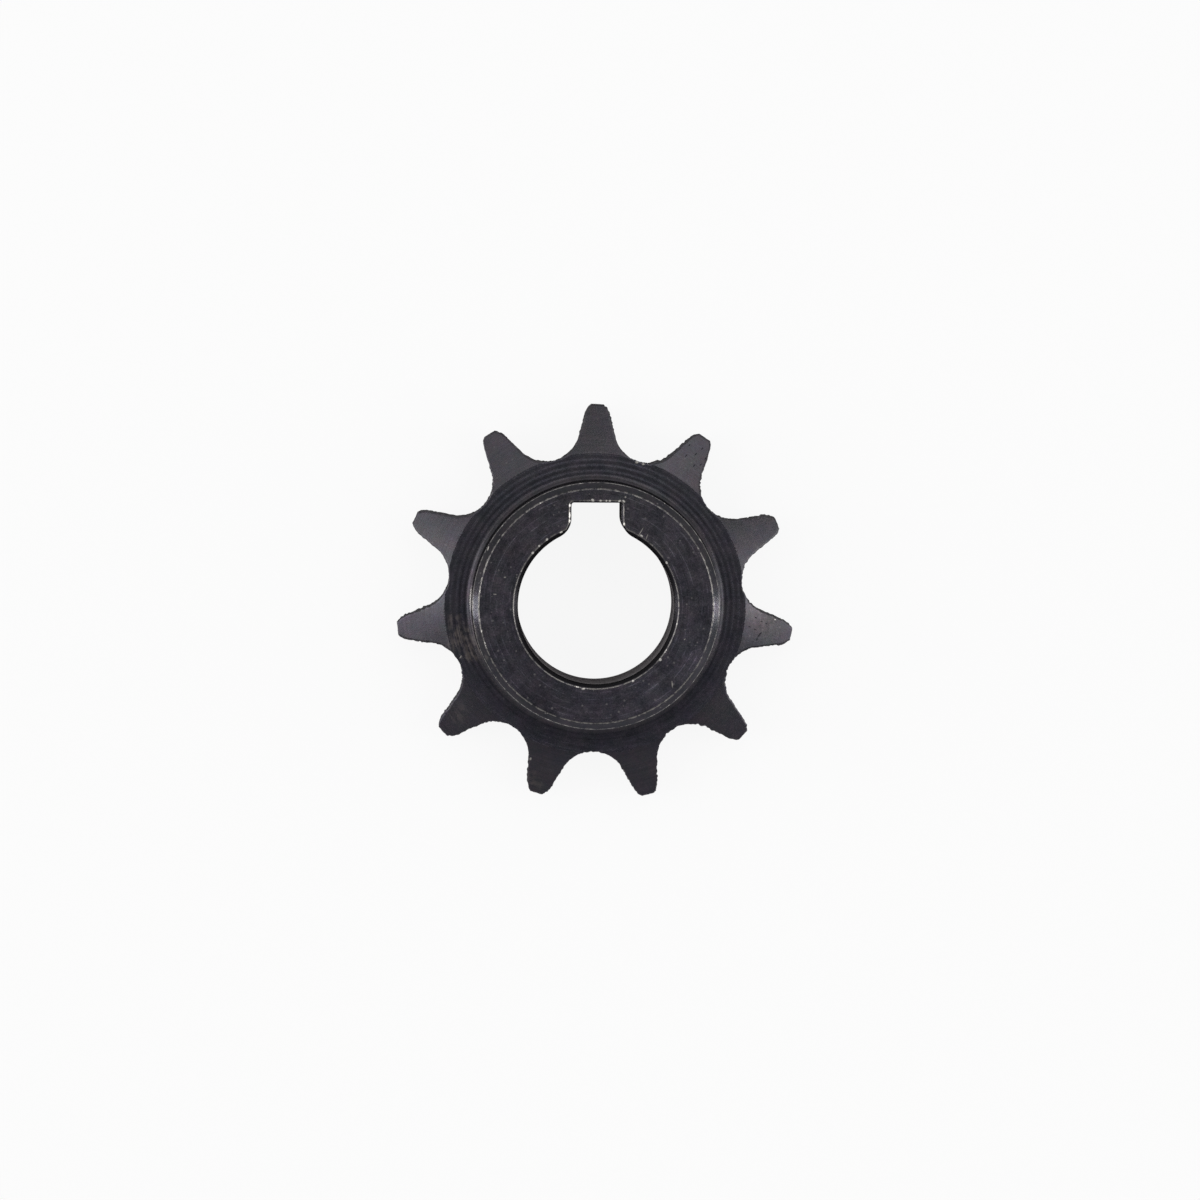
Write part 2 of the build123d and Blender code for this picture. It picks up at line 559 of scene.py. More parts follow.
# %% [markdown]
# ## Black oxide on turned steel
# Blackening turns the skin of the steel itself into a black oxide, a micron thin, and an oiled
# one. It doesn't cover anything up: the steel's turned lines and its metallic gloss stay, only
# darker, and the colour varies with the crystal and the oil. So the shader is a metal with a
# dark base colour and a low roughness, and not black paint. The eye gets a dark, slightly blue
# grey that comes up light where a face mirrors a lamp, fine rings, paler blotches, and bright
# steel where an edge is rubbed through. The colour is built from large to small: a tone for
# each turned face, the patterns on all of it, then the single marks.

# %% Where a point is on the sprocket
steel, tree = blank_material("black_oxide_on_turned_steel")
in_mm, (_, to_keyway, height), level, radius = find_place(tree)
# The tool travels inwards on a face and along the axis on a wall, and this grows on both.
travel = node(tree, "ShaderNodeMath", {0: radius, 1: height}, operation="SUBTRACT")
print("nodes that find a place:", len(tree.nodes))

# %% Patterns that run round: turned lines and streaks
# The tool leaves a line at each turn, 8 to a millimetre. Noise in four dimensions draws them:
# its fourth follows the tool's travel, and the other three are pulled long, so that each line
# changes slowly on its way round.
lines_per_mm, lines_pulled = 8, 0.025
streaks_per_mm, streaks_pulled = 1.6, 0.3
around = node(tree, "ShaderNodeMapping", {"Vector": in_mm, "Scale": (lines_pulled,) * 3})
turned_lines = node(tree, "ShaderNodeTexNoise", {
    "Vector": around, "W": travel, "Scale": lines_per_mm, "Detail": 3, "Roughness": 0.65},
    noise_dimensions="4D")
around = node(tree, "ShaderNodeMapping", {"Vector": in_mm, "Scale": (streaks_pulled,) * 3})
streaks = node(tree, "ShaderNodeTexNoise", {
    "Vector": around, "W": travel, "Scale": streaks_per_mm, "Detail": 2, "Roughness": 0.6},
    noise_dimensions="4D")
print("turned lines every", 1 / lines_per_mm, "mm")

# %% Patterns that run all ways: blotches, specks and grain
# The blotches are patches of oil, 2 mm wide. The real grain of the oxide is a few hundredths
# of a millimetre, too fine to show here, so it is drawn 0.2 mm coarse.
blotches_per_mm, specks_per_mm, grain_per_mm = 0.5, 1.7, 5
blotches, specks, grain = [
    node(tree, "ShaderNodeTexNoise", {
        "Vector": in_mm, "Scale": per_mm, "Detail": detail, "Roughness": 0.6})
    for per_mm, detail in ((blotches_per_mm, 2), (specks_per_mm, 1.5), (grain_per_mm, 2))]
print("grain", 1 / grain_per_mm, "mm and blotches", 1 / blotches_per_mm, "mm wide")

# %% A tone for each turned face, from the bore outwards
# A ramp over the radius holds the tone in its colour and how blotchy the face is in its alpha.
# The back has no hub, so there the radius stops short of it and all of it is one tone.
hub_zone, chamfer_zone, fillet_zone = ("#4d4b52", 0.75), ("#37363a", 0.3), ("#474549", 0.4)
ring_zone, bevel_zone = ("#45444b", 0.5), ("#4d4b50", 0.14)
zone_reach, back_reach, front_reach = 25.0, 12.0, 30.0
front = node(tree, "ShaderNodeMapRange", {"Value": height, "From Min": -2.5, "From Max": -2.0})
widest = node(tree, "ShaderNodeMath", {
    0: front, 1: front_reach - back_reach, 2: back_reach}, operation="MULTIPLY_ADD")
zone_radius = node(tree, "ShaderNodeMath", {0: radius, 1: widest}, operation="MINIMUM")
zones = node(tree, "ShaderNodeValToRGB", {
    "Fac": node(tree, "ShaderNodeMath", {0: zone_radius, 1: zone_reach}, operation="DIVIDE")})
stops = [(flat_radius - 0.05, hub_zone), (flat_radius + 0.08, chamfer_zone),
         (hub_radius, chamfer_zone), (hub_radius + 0.1, fillet_zone),
         (foot_radius - 0.1, fillet_zone), (foot_radius + 0.1, ring_zone),
         (rim_radius - 0.03, ring_zone), (rim_radius + 0.03, bevel_zone)]
for place, _ in stops[2:]:
    zones.color_ramp.elements.new(place / zone_reach)
for element, (place, (tone, blotchy)) in zip(zones.color_ramp.elements, stops):
    element.position, element.color = place / zone_reach, (*linear(tone)[:3], blotchy)
print("zones:", len(stops), "stops from the hub to the tips")

# %% The patterns lighten and darken the tone
# Each pattern is 0.5 on average, so half of all the weights is taken off again.
line_weight = 0.34
weights = [(blotches, 0.75), (specks, 0.6), (grain, 0.65), (streaks, 0.5)]
pattern = weigh(tree, -0.5 * sum(weight for _, weight in weights), weights)
lines = weigh(tree, -0.5 * line_weight, [(turned_lines, line_weight)])
shade = node(tree, "ShaderNodeMath", {0: pattern, 1: zones.outputs["Alpha"], 2: lines},
             operation="MULTIPLY_ADD")
shade = node(tree, "ShaderNodeMath", {0: shade, 1: 1.0}, operation="ADD")
shade = node(tree, "ShaderNodeMath", {0: shade, 1: 2.0}, operation="POWER")
print("pattern weights:", [weight for _, weight in weights], "and lines", line_weight)

# %% Painted shade: the ring is darker on the side away from the keyway, lighter towards it
on_ring = node(tree, "ShaderNodeMapRange", {
    "Value": radius, "From Min": foot_radius - 0.1, "From Max": foot_radius + 0.1})
off_rim = node(tree, "ShaderNodeMapRange", {
    "Value": radius, "From Min": rim_radius + 0.03, "From Max": rim_radius - 0.03})
on_ring = node(tree, "ShaderNodeMath", {0: on_ring, 1: off_rim}, operation="MULTIPLY")
# Painted shade and light: the hub hides the lamps from the ring's far side, so it is painted
# darker.
painted_shade_by_side = node(tree, "ShaderNodeMapRange", {
    "Value": to_keyway, "From Min": -17, "From Max": 17, "To Min": -0.24, "To Max": 0.18})
painted_ring_shade = node(tree, "ShaderNodeMath", {0: on_ring, 1: painted_shade_by_side, 2: 1.0},
                 operation="MULTIPLY_ADD")
shade = node(tree, "ShaderNodeMath", {0: shade, 1: painted_ring_shade}, operation="MULTIPLY")
print("ring from", round(foot_radius, 2), "to", round(rim_radius, 2), "mm from the axis")

# %% Painted shade on that side hides the step from the ring to the teeth there
# It is a slope in three parts: up along the ring, down at its rim, and up again on the teeth.
regained_at = 20.3
# Painted shade and light: lighter out along the ring, darker past its rim, back to plain on the
# teeth.
rise = node(tree, "ShaderNodeMapRange", {
    "Value": radius, "From Min": foot_radius + 0.5, "From Max": rim_radius, "To Max": 0.3})
fall = node(tree, "ShaderNodeMapRange", {
    "Value": radius, "From Min": rim_radius - 0.03, "From Max": rim_radius + 0.03,
    "To Max": -0.45})
regain = node(tree, "ShaderNodeMapRange", {
    "Value": radius, "From Min": rim_radius, "From Max": regained_at, "To Max": 0.14})
low_side = node(tree, "ShaderNodeMapRange", {
    "Value": to_keyway, "From Min": 0.0, "From Max": -9.0})
low_side = node(tree, "ShaderNodeMath", {0: low_side, 1: front}, operation="MULTIPLY")
painted_step_shade = weigh(tree, 0.0, [(rise, 1.0), (fall, 1.0), (regain, 1.0)])
painted_step_shade = node(tree, "ShaderNodeMath", {0: painted_step_shade, 1: low_side, 2: 1.0}, operation="MULTIPLY_ADD")
shade = node(tree, "ShaderNodeMath", {0: shade, 1: painted_step_shade}, operation="MULTIPLY")
print("dirt fades out", regained_at, "mm from the axis")

# %% One tooth is mottled
mottled_tooth = stroke(tree, in_mm, (20.8, -1.8, 3.0), 0, 9, 8)
mottled = weigh(tree, -1.1, [(grain, 1.2), (specks, 1.0)])
mottled = node(tree, "ShaderNodeMath", {0: mottled, 1: mottled_tooth, 2: 1.0},
               operation="MULTIPLY_ADD")
shade = node(tree, "ShaderNodeMath", {0: shade, 1: mottled}, operation="MULTIPLY")
print("nodes for the large tones:", len(tree.nodes))

# %% Wide patches that are lighter or darker than the rest
tone_spots = [  # x, y, z, size, change
    (-6.5, -11.5, hub_face, 9, -0.34), (-9.5, -5, hub_face, 7, -0.12),
    (-11.5, 7, hub_face, 8, -0.25), (12.2, -6, hub_face, 9, 0.42),
    (7, -10, hub_face, 6, 0.3), (19.6, 0.3, 3.2, 5.5, 0.55), (19.3, -5.6, 3.2, 5, -0.3),
    (-19.3, 1.2, 3.2, 6, 0.3), (-19.5, -4.2, 3.2, 4, -0.2)]
for x, y, z, size, change in tone_spots:
    spot = stroke(tree, in_mm, (x, y, z), 0, size, size)
    spot = node(tree, "ShaderNodeMath", {0: spot, 1: change, 2: 1.0}, operation="MULTIPLY_ADD")
    shade = node(tree, "ShaderNodeMath", {0: spot, 1: shade}, operation="MULTIPLY")
print("tone patches:", len(tone_spots))

# %% A few bright facing lines on the hub's end
# Only the crests of the rings show, and only where a streak lets them.
facing_scale, crest = 0.4, 0.94
facing = node(tree, "ShaderNodeTexWave", {
    "Vector": in_mm, "Scale": facing_scale, "Distortion": 1.2, "Detail": 1.0,
    "Detail Scale": 0.5}, wave_type="RINGS", rings_direction="Z").outputs["Fac"]
facing = node(tree, "ShaderNodeMapRange", {"Value": facing, "From Min": crest, "From Max": 1.0})
seen_facing = node(tree, "ShaderNodeMapRange", {
    "Value": streaks, "From Min": 0.46, "From Max": 0.62, "To Min": 0.0, "To Max": 0.9})
on_end = node(tree, "ShaderNodeMapRange", {
    "Value": radius, "From Min": flat_radius - 0.1, "From Max": flat_radius,
    "To Min": 1, "To Max": 0})
facing = node(tree, "ShaderNodeMath", {0: facing, 1: seen_facing}, operation="MULTIPLY")
facing = node(tree, "ShaderNodeMath", {0: facing, 1: on_end, 2: 1.0}, operation="MULTIPLY_ADD")
shade = node(tree, "ShaderNodeMath", {0: shade, 1: facing}, operation="MULTIPLY")
shaded = node(tree, "ShaderNodeVectorMath", {0: zones.outputs["Color"], "Scale": shade},
              operation="SCALE")
print("facing lines are the top", round(1 - crest, 2), "of each ring")

# %% A breath of other colours in the black
grain_tint, blotch_tint, least_tint = (0.4, 0.25, 0.2), (0.3, 0.22, 0.18), (0.65, 0.765, 0.81)
cool, warm = (1.0, 0.985, 1.05), (1.03, 1.0, 0.93)
tints = node(tree, "ShaderNodeVectorMath", {
    0: grain.outputs["Color"], 1: grain_tint, 2: least_tint}, operation="MULTIPLY_ADD")
tints = node(tree, "ShaderNodeVectorMath", {
    0: blotches.outputs["Color"], 1: blotch_tint, 2: tints}, operation="MULTIPLY_ADD")
skin = node(tree, "ShaderNodeVectorMath", {0: shaded, 1: tints}, operation="MULTIPLY")
bluer = node(tree, "ShaderNodeMapRange", {
    "Value": to_keyway, "From Min": 12, "From Max": -20})
for mask, tint in ((bluer, cool), (mottled_tooth, warm)):
    tinted = node(tree, "ShaderNodeVectorMath", {0: skin, 1: tint}, operation="MULTIPLY")
    skin = overlay(tree, skin, [(mask, tinted)])
print("tints: cool", cool, "and warm", warm)

# %% Dust and crumbs
# Voronoi cells put one grain of dust in each, and the cell's own colour picks its size.
dust_per_mm, dust_on_hub, dust_outside = 1.35, 0.4, 0.08
dust = node(tree, "ShaderNodeTexVoronoi", {
    "Vector": in_mm, "Scale": dust_per_mm, "Randomness": 1.0})
dust_size = node(tree, "ShaderNodeSeparateColor", {0: dust.outputs["Color"]})
dust_size = weigh(tree, -0.04, [
    (dust_size, 0.2), (dust.outputs["Distance"], -1.0), (specks, 0.12)])
dust_amount = node(tree, "ShaderNodeMapRange", {
    "Value": radius, "From Min": flat_radius, "From Max": flat_radius + 0.5,
    "To Min": dust_on_hub, "To Max": dust_outside})
dust_mask = node(tree, "ShaderNodeMapRange", {
    "Value": dust_size, "From Min": 0.0, "From Max": 0.06})
dust_mask = node(tree, "ShaderNodeMath", {0: dust_mask, 1: dust_amount}, operation="MULTIPLY")
skin = overlay(tree, skin, [(dust_mask, linear("#a09c9c"))])
print("a grain of dust every", round(1 / dust_per_mm, 2), "mm")

# %% [markdown]
# ## Smudges, scratches and lint
# Fingers and a rag have left brown oil on the ring and on two teeth. A smudge starts as a round
# spot, is bent by the blotches so that its outline isn't round, and is broken up by the turned
# lines, because the oil stays in them. Scratches and lint are single things, so each one is a
# small spindle at its own place.

# %% Brown smudges of old oil
bend = 2.5
smudges = [  # place, size, strength
    ((-16.3, -4.3), 2.1, 1.0), ((-14.9, -6.3), 1.6, 1.0), ((-17.6, -2.4), 1.3, 0.6),
    ((-16.9, -13.7), 1.6, 0.35), ((-7.4, -22.0), 1.5, 0.45)]
bent = node(tree, "ShaderNodeVectorMath", {
    0: blotches.outputs["Color"], 1: (bend, bend, 0), 2: level}, operation="MULTIPLY_ADD")
smudge = 0.0
for place, size, strength in smudges:
    centre = (place[0] + bend / 2, place[1] + bend / 2, 0)
    away = node(tree, "ShaderNodeVectorMath", {0: bent, 1: centre}, operation="DISTANCE")
    spot = node(tree, "ShaderNodeMapRange", {
        "Value": away.outputs["Value"], "From Min": size, "From Max": size * 0.4,
        "To Max": strength}, interpolation_type="SMOOTHSTEP")
    smudge = node(tree, "ShaderNodeMath", {0: spot, 1: smudge}, operation="MAXIMUM")
streaky = weigh(tree, -0.6, [(streaks, 1.0), (specks, 0.4), (turned_lines, 0.8)])
streaky = node(tree, "ShaderNodeMapRange", {
    "Value": streaky, "From Min": 0.42, "From Max": 0.6, "To Max": 0.95})
smudge = node(tree, "ShaderNodeMath", {0: smudge, 1: streaky}, operation="MULTIPLY")
skin = overlay(tree, skin, [(smudge, linear("#6b6462"))])
print("smudges:", len(smudges))

# %% Painted shade in the bevels of the hole
# Painted shade: the bore's chamfer and the keyway's edge break mirror the dark hole, so they are
# painted near black.
painted_shade_in_hole = node(tree, "ShaderNodeMapRange", {
    "Value": height, "From Min": hub_face - 0.03, "From Max": hub_face - 0.1})
at_hub_end = node(tree, "ShaderNodeMath", {0: height, 1: hub_face - 1},
                  operation="GREATER_THAN")
by_hole = node(tree, "ShaderNodeMapRange", {
    "Value": radius, "From Min": flat_radius - 0.4, "From Max": flat_radius - 0.5})
for mask in (at_hub_end, by_hole):
    painted_shade_in_hole = node(tree, "ShaderNodeMath", {0: painted_shade_in_hole, 1: mask}, operation="MULTIPLY")
skin = overlay(tree, skin, [(painted_shade_in_hole, linear("#272629"))])
print("dirt lies up to", round(hub_face - 0.03, 2), "mm, just under the hub's face")

# %% Scratches and lint on the hub, and painted glints on the burrs at the rim of the hole
# Each mark is given by x, y, angle, length and width.
hub_marks = strokes(tree, in_mm, hub_face - 0.4, [
    (9.45, -9.45, 96, 1.1, 0.2), (5.35, 9.2, 60, 1.6, 0.14), (6.1, 8.6, 70, 1.0, 0.12),
    (5.0, 14.5, 20, 0.5, 0.3), (8.3, 12.8, 65, 0.5, 0.25), (3.4, 13.4, 50, 0.3, 0.3),
    (-13.3, 6.9, 75, 0.7, 0.16), (12.7, 8.2, -40, 0.8, 0.14), (-12.25, -9.1, 60, 0.7, 0.14),
    (-12.1, -9.5, -50, 0.5, 0.14), (-11.2, 3.4, 10, 0.4, 0.18), (-12.4, 1.3, 0, 0.55, 0.16),
    (10.9, -3.9, 40, 0.35, 0.16)], depth=2.2)
# Painted highlights: near-white specks on the rims of the bore and keyway, for light off their
# burrs.
painted_glints = strokes(tree, in_mm, hub_face, [
    (-0.6, 12.98, -30, 0.5, 0.36), (0.36, 12.93, 0, 0.36, 0.26), (1.08, 12.93, 0, 0.28, 0.26),
    (1.5, 12.93, 0, 0.34, 0.26), (2.7, 12.93, 20, 0.45, 0.28), (-3.4, 12.3, 90, 0.5, 0.26),
    (-3.4, 11.1, 90, 0.9, 0.24), (-3.4, 10.4, 90, 0.5, 0.28), (3.2, 12.9, -40, 0.5, 0.26),
    (3.28, 10.1, 90, 0.5, 0.28), (-6.13, 8.1, 50, 0.4, 0.3), (-7.07, 7.29, 45, 0.34, 0.28),
    (-7.85, 6.43, 40, 0.42, 0.34), (5.43, 8.71, -30, 0.5, 0.24), (8.56, 5.45, -60, 0.4, 0.3),
    (-4.4, 9.0, 30, 0.5, 0.24), (7.95, -6.45, 50, 0.42, 0.36), (4.65, -9.1, 25, 0.4, 0.28),
    (-1.45, -10.15, 0, 0.5, 0.26)], depth=1.0)
print("nodes so far, each mark with two:", len(tree.nodes))

# %% Nicks at the edges of the teeth, and pits in them
edge_marks = strokes(tree, in_mm, 3.0, [
    (4.9, 17.5, 0, 0.5, 0.35), (5.7, 17.3, 20, 0.45, 0.3), (6.4, 17.45, -30, 0.5, 0.4),
    (7.1, 17.7, 0, 0.35, 0.3), (22.3, -1.7, -25, 0.3, 0.15), (-7.7, -19.3, 70, 0.45, 0.3),
    (-16.5, -6.8, 60, 0.55, 0.2)])
pits = strokes(tree, in_mm, 3.0, [
    (-21.5, -0.9, 20, 0.9, 0.4), (20.41, -3.55, 50, 0.95, 0.24), (20.06, -4.15, 60, 0.4, 0.2),
    (19.87, -1.45, -30, 0.45, 0.16), (20.6, -1.94, -20, 0.4, 0.15),
    (19.1, -2.6, -20, 0.45, 0.16), (19.8, -2.95, -10, 0.4, 0.14),
    (21.2, -2.2, -30, 0.35, 0.14), (13.0, 19.3, 50, 0.5, 0.18), (12.2, 18.6, 45, 0.6, 0.16),
    (13.4, 18.1, 55, 0.5, 0.18), (12.0, 17.2, 50, 0.5, 0.18), (11.4, 19.7, 45, 0.4, 0.2),
    (12.8, 17.3, 40, 0.4, 0.16), (14.0, 19.0, 55, 0.4, 0.16), (11.0, 18.4, 50, 0.5, 0.16)])
skin = overlay(tree, skin, [(pits, linear("#252528"))])
print("marks take the steel to", len(tree.nodes), "nodes")

# %% [markdown]
# ## Bare steel on the worn edges
# The oxide is so thin that handling takes it off the sharp edges. The mesh says where, in the
# worn layer that the walk wrote, and noise breaks that up into chips, so the bright line comes
# and goes. On each side of the hub, where the side lamps are mirrored, the chamfer's edges are
# painted fully bare as a highlight, and a painted highlight of bare steel lies on its foot at the
# left.

# %% Chips along the worn rows
chips_per_mm = 1.5
worn = node(tree, "ShaderNodeAttribute", attribute_name="worn",
            attribute_type="GEOMETRY").outputs["Fac"]
chips = node(tree, "ShaderNodeTexNoise", {
    "Vector": in_mm, "Scale": chips_per_mm, "Detail": 4, "Roughness": 0.7})
chipped = node(tree, "ShaderNodeMapRange", {
    "Value": chips, "From Min": 0.36, "From Max": 0.62, "To Min": 0.2, "To Max": 1.0})
at_shoulder = node(tree, "ShaderNodeMapRange", {
    "Value": radius, "From Min": flat_radius + 0.2, "From Max": flat_radius + 0.4,
    "To Min": 0.3, "To Max": 0.0})
chipped = node(tree, "ShaderNodeMath", {0: chipped, 1: at_shoulder}, operation="MAXIMUM")
# Painted highlight: where the side lamps are mirrored, the chamfer's worn edges are made fully
# bare.
for x in (-hub_radius, hub_radius):
    painted_chamfer_highlight = stroke(tree, in_mm, (x, 0, shoulder), 90, 6, 2)
    painted_chamfer_highlight = node(tree, "ShaderNodeMath", {0: painted_chamfer_highlight, 1: 1.2}, operation="MULTIPLY")
    chipped = node(tree, "ShaderNodeMath", {0: chipped, 1: painted_chamfer_highlight}, operation="MAXIMUM")
rubbed = node(tree, "ShaderNodeMath", {0: worn, 1: chipped}, operation="MULTIPLY")
bare = node(tree, "ShaderNodeMapRange", {
    "Value": rubbed, "From Min": 0.2, "From Max": 0.75}, interpolation_type="SMOOTHSTEP")
print("chips up to", round(1 / chips_per_mm, 2), "mm wide")

# %% The painted highlight at the hub's foot, and the colour of all that is bare
glints_per_mm = 1.6
# Painted highlight: bare steel on the fillet at the left, where the left lamps are mirrored.
painted_foot_highlight = stroke(tree, in_mm, (-hub_radius - 0.22, 0.5, plate_half + 0.5), 90, 4.5, 0.9, 0.9)
painted_foot_highlight = node(tree, "ShaderNodeMath", {0: painted_foot_highlight, 1: 3.5}, operation="MULTIPLY")
painted_foot_highlight = node(tree, "ShaderNodeMath", {0: painted_foot_highlight, 1: chips}, operation="MULTIPLY",
                   use_clamp=True)
bare = node(tree, "ShaderNodeMath", {0: bare, 1: painted_foot_highlight}, operation="MAXIMUM")
# Painted highlights: glints are spots of bare steel far brighter than steel itself.
glints = node(tree, "ShaderNodeTexNoise", {
    "Vector": in_mm, "Scale": glints_per_mm, "Detail": 3, "Roughness": 0.7})
glints = node(tree, "ShaderNodeMapRange", {"Value": glints, "From Min": 0.6, "From Max": 0.68})
bare_colour = overlay(tree, linear("#888582"), [(glints, linear("#ece8e2"))])
all_marks = node(tree, "ShaderNodeMath", {0: hub_marks, 1: edge_marks}, operation="MAXIMUM")
colour = overlay(tree, skin, [
    (bare, bare_colour), (all_marks, linear("#b8b4ae")), (painted_glints, linear("#f2eee8"))])
print("nodes up to the finished colour:", len(tree.nodes))

# %% Roughness, relief and the shader
# The steel is left as smooth as fine turning leaves it, smoother still on the chamfer and dull
# where oil has dried. The relief of the lines is real, 5 microns, and IOR keeps its default.
relief_depth = 0.000005
roughness = node(tree, "ShaderNodeMapRange", {
    "Value": grain, "From Min": 0.3, "From Max": 0.7, "To Min": 0.22, "To Max": 0.32})
past_flat = node(tree, "ShaderNodeMapRange", {
    "Value": radius, "From Min": flat_radius, "From Max": flat_radius + 0.05})
within_hub = node(tree, "ShaderNodeMapRange", {
    "Value": radius, "From Min": hub_radius, "From Max": hub_radius + 0.1,
    "To Min": 1, "To Max": 0})
on_chamfer = node(tree, "ShaderNodeMath", {0: past_flat, 1: within_hub}, operation="MULTIPLY")
roughness = weigh(tree, roughness, [(on_chamfer, -0.08), (smudge, 0.2)])
relief = node(tree, "ShaderNodeMath", {0: turned_lines, 1: grain}, operation="ADD")
bump = node(tree, "ShaderNodeBump", {
    "Height": relief, "Strength": 1.0, "Distance": relief_depth})
shader = node(tree, "ShaderNodeBsdfPrincipled", {
    "Base Color": colour, "Metallic": 1.0, "Roughness": roughness, "Normal": bump})
node(tree, "ShaderNodeOutputMaterial", {"Surface": shader})
sprocket_mesh.materials.append(steel)
print("nodes in the steel:", len(tree.nodes))

# %% [markdown]
# ## The cut walls
# The tooth gaps and the hole were cut by other tools, which leave a torn and dull face that the
# oxide and the dirt sit deep in. The eye gets a dark grey without gloss, with stripes along the
# plate's thickness in the gaps, where the cutter passed, and round the bore, where the boring
# tool turned. It is drawn without metal and without a specular level: at the flat angle from
# which a wall is seen, a gloss would make it as light as the room.

# %% Stripes of the cutters
cutter_per_mm, cutter_pits_per_mm = 2.0, 2.6
walls, tree = blank_material("dull_oxide_on_cut_walls")
in_mm, (_, _, height), _, radius = find_place(tree)
countersink = bore_radius + bore_chamfer
off_bore = node(tree, "ShaderNodeMapRange", {
    "Value": radius, "From Min": countersink, "From Max": countersink + 0.3})
along = node(tree, "ShaderNodeMapping", {"Vector": in_mm, "Scale": (1.6, 1.6, 0.12)})
around = node(tree, "ShaderNodeMapping", {"Vector": in_mm, "Scale": (0.25, 0.25, 1.2)})
stripes = node(tree, "ShaderNodeTexNoise", {
    "Vector": overlay(tree, around, [(off_bore, along)]), "Scale": cutter_per_mm,
    "Detail": 3, "Roughness": 0.65})
torn = node(tree, "ShaderNodeTexNoise", {
    "Vector": in_mm, "Scale": cutter_pits_per_mm, "Detail": 2, "Roughness": 0.6})
torn = weigh(tree, -0.25, [(stripes, 0.9), (torn, 0.6)])
print("the bore ends and the gaps begin", round(countersink, 2), "mm from the axis")

# %% Colour and shader of the walls
# The top of the bore lies in the shadow of its own chamfer, painted in as near black.
torn_depth = 0.00001
wall_shade = node(tree, "ShaderNodeMapRange", {
    "Value": torn, "From Min": 0.3, "From Max": 0.7, "To Min": 0.6, "To Max": 1.4})
# Painted shadow: the top of the bore wall, under the chamfer, is near black.
deep = node(tree, "ShaderNodeMapRange", {
    "Value": height, "From Min": hub_face - bore_chamfer - 0.05,
    "From Max": hub_face - bore_chamfer})
wall_colour = overlay(tree, linear("#7a7678"), [
    (deep, linear("#101012")), (off_bore, linear("#504f51"))])
wall_colour = node(tree, "ShaderNodeVectorMath", {0: wall_colour, "Scale": wall_shade},
                   operation="SCALE")
bump = node(tree, "ShaderNodeBump", {"Height": torn, "Strength": 1.0, "Distance": torn_depth})
shader = node(tree, "ShaderNodeBsdfPrincipled", {
    "Base Color": wall_colour, "Metallic": 0.0, "Roughness": 0.8, "Specular IOR Level": 0.0,
    "Normal": bump})
node(tree, "ShaderNodeOutputMaterial", {"Surface": shader})
sprocket_mesh.materials.append(walls)
print("nodes in the walls:", len(tree.nodes))

# %% [markdown]
# ## A white floor
# Small machine parts are shown lying on white paper. A paper bright enough to look pure white
# would also light the sprocket from below and wash its black out. So the floor is plain matte
# paper to the light, and mostly a white glow to whoever looks at it, straight or in a mirror
# face of the steel. A tenth of it stays matte, which keeps the soft shadow round the piece.

# %% Lay the floor
floor_half_side = 1.5
floor_gap = 0.02  # in mm, so that the back and the floor don't share one plane
floor_bm = bmesh.new()
bmesh.ops.create_grid(floor_bm, x_segments=1, y_segments=1, size=floor_half_side)
bmesh.ops.translate(floor_bm, vec=(0, 0, -(plate_half + floor_gap) / 1000),
                    verts=floor_bm.verts)
floor_mesh = bpy.data.meshes.new("floor")
floor_bm.to_mesh(floor_mesh)
floor_bm.free()
floor = bpy.data.objects.new("floor", floor_mesh)
bpy.context.scene.collection.objects.link(floor)
print("floor at", floor_mesh.vertices[0].co.z * 1000, "mm")

# %% Paper that glows only to the eye
seen_share = 0.9
paper, tree = blank_material("white_paper_sweep")
rays = node(tree, "ShaderNodeLightPath")
seen = rays.outputs["Is Camera Ray"]
for kind_of_ray in ("Is Glossy Ray", "Is Transmission Ray"):
    seen = node(tree, "ShaderNodeMath", {0: seen, 1: rays.outputs[kind_of_ray]},
                operation="MAXIMUM")
share = node(tree, "ShaderNodeMath", {0: seen, 1: seen_share}, operation="MULTIPLY")
matte = node(tree, "ShaderNodeBsdfDiffuse", {"Color": (0.9, 0.9, 0.9, 1)})
glow = node(tree, "ShaderNodeEmission", {"Color": (1, 1, 1, 1), "Strength": 1.0})
mixed = node(tree, "ShaderNodeMixShader", {0: share, 1: matte, 2: glow})
node(tree, "ShaderNodeOutputMaterial", {"Surface": mixed})
floor_mesh.materials.append(paper)
print("the eye sees", seen_share, "of the floor as glow")

# %% [markdown]
# ## Soft boxes
# Polished black metal shows hardly any colour of its own: what the eye sees is the room in it.
# So light on metal is set up by asking what each face mirrors. The flats mirror what is right
# above, which is left dim. The tooth bevels and the chamfers lean outwards and mirror the
# panels at the sides, so the teeth at the left and right come up light and those at the bottom
# stay dark. Point lamps would be no use, because they show in metal as tiny dots.

# %% Hang the soft boxes
def softbox(name, place, faces, size, brightness):
    """A lit panel. Brightness 1 is as bright as white paper in this light."""
    lamp = bpy.data.lights.new(name, "AREA")
    lamp.shape, lamp.size, lamp.size_y = "RECTANGLE", *size
    lamp.energy = brightness * pi * size[0] * size[1]
    made = bpy.data.objects.new(name, lamp)
    made.location = place
    made.rotation_euler = Vector(faces).to_track_quat("-Z", "Y").to_euler()
    bpy.context.scene.collection.objects.link(made)


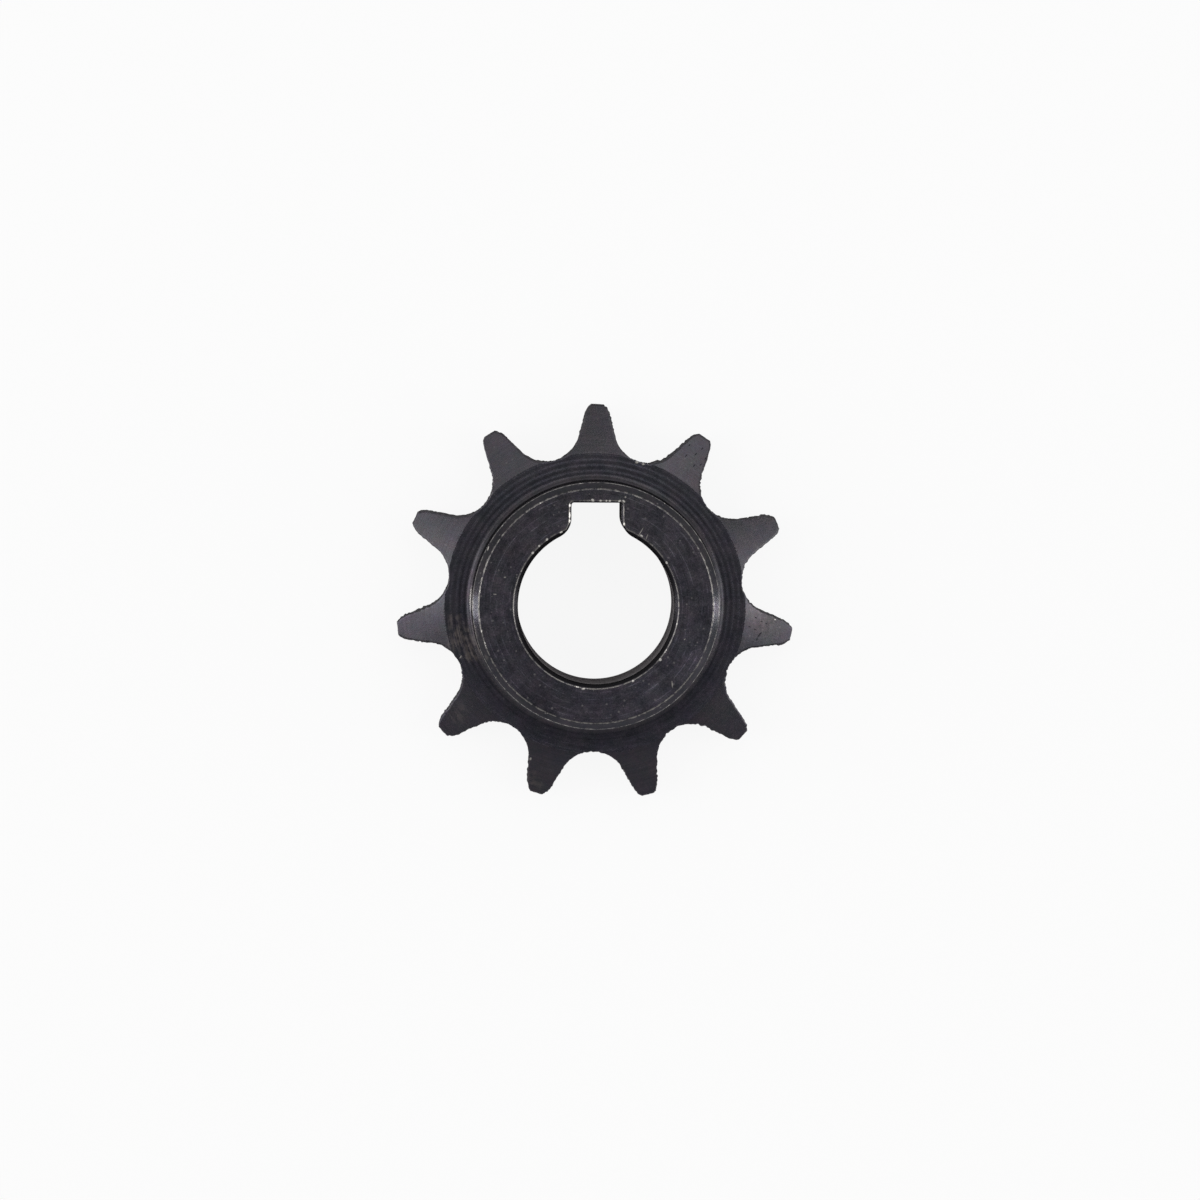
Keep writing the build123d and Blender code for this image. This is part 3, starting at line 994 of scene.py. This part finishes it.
rightwards, leftwards = (1, 0, 0), (-1, 0, 0)
softboxes = [  # name, place and direction, width and height in metres, brightness
    ("left_softbox", (-0.6, 0.06, 0.93), rightwards, (0.44, 0.84), 1.95),
    ("left_lower_softbox", (-0.6, 0.06, 0.27), rightwards, (0.44, 0.46), 0.4),
    ("left_strip", (-0.6, -0.04, 0.26), rightwards, (0.105, 0.3), 3),
    ("left_low_strip", (-0.6, -0.04, 0.055), rightwards, (0.105, 0.11), 13),
    ("right_softbox", (0.6, 0.0, 0.93), leftwards, (0.34, 0.84), 1.95),
    ("right_lower_softbox", (0.6, 0.0, 0.27), leftwards, (0.34, 0.46), 0.4),
    ("right_strip", (0.6, -0.035, 0.26), leftwards, (0.115, 0.3), 2),
    ("right_low_strip", (0.6, -0.035, 0.055), leftwards, (0.115, 0.11), 12),
    ("far_right_softbox", (0.34, 0.56, 1.0), (-0.34, -0.56, -1.0), (0.38, 0.35), 1.25),
    ("far_left_softbox", (-0.36, 0.6, 1.0), (0.36, -0.6, -1.0), (0.46, 0.35), 0.65),
    ("high_back_softbox", (0.0, 0.33, 1.0), (0, -0.33, -1.0), (0.5, 0.16), 1.3)]
for softbox_row in softboxes:
    softbox(*softbox_row)
print("soft boxes:", len(softboxes))

# %% The room: brighter near the horizon than overhead
near_horizon, overhead = 0.72, 0.36
world = bpy.data.worlds.new("studio")
bpy.context.scene.world = world
world.use_nodes = True
tree = world.node_tree
tree.nodes.clear()
way_out = node(tree, "ShaderNodeTexCoord").outputs["Generated"]
upward = node(tree, "ShaderNodeSeparateXYZ", {0: way_out}).outputs[2]
room = node(tree, "ShaderNodeMapRange", {
    "Value": upward, "From Min": 0.2, "From Max": 0.8,
    "To Min": near_horizon, "To Max": overhead})
sky = node(tree, "ShaderNodeBackground", {"Color": (1, 1, 1, 1), "Strength": room})
node(tree, "ShaderNodeOutputWorld", {"Surface": sky})
print("room light from", near_horizon, "to", overhead)

# %% [markdown]
# ## The camera
# The camera looks almost straight down on the hub, from a bit left of the middle and a bit
# towards the keyway, so a sliver of the bore's wall shows at the bottom. Where it stands, the
# point that it aims at and how wide its view is there are enough: its own three axes follow
# from the first two, and the length of the lens follows from the distance and the width.

# %% Place the camera
aim_at = Vector((0.671, 0.319, 0))
camera_offset = Vector((-15.26, 36.09, 915.0))
frame_width, roll, sensor_width = 148.65, radians(0.8), 36
lens = bpy.data.cameras.new("camera")
lens.sensor_width = sensor_width
lens.lens = sensor_width * (camera_offset - aim_at).length / frame_width
camera = bpy.data.objects.new("camera", lens)
bpy.context.scene.collection.objects.link(camera)
back_axis = (camera_offset - aim_at).normalized()
right_axis = Vector((0, 1, 0)).cross(back_axis).normalized()
up_axis = back_axis.cross(right_axis)
stand = Matrix((right_axis, up_axis, back_axis)).transposed().to_4x4()
stand.translation = camera_offset / 1000
camera.matrix_world = Matrix.Rotation(roll, 4, "Z") @ stand
bpy.context.scene.camera = camera
bpy.context.scene.view_settings.view_transform = 'Standard'
print("lens:", round(lens.lens, 1), "mm, from", camera_offset.z, "mm above")
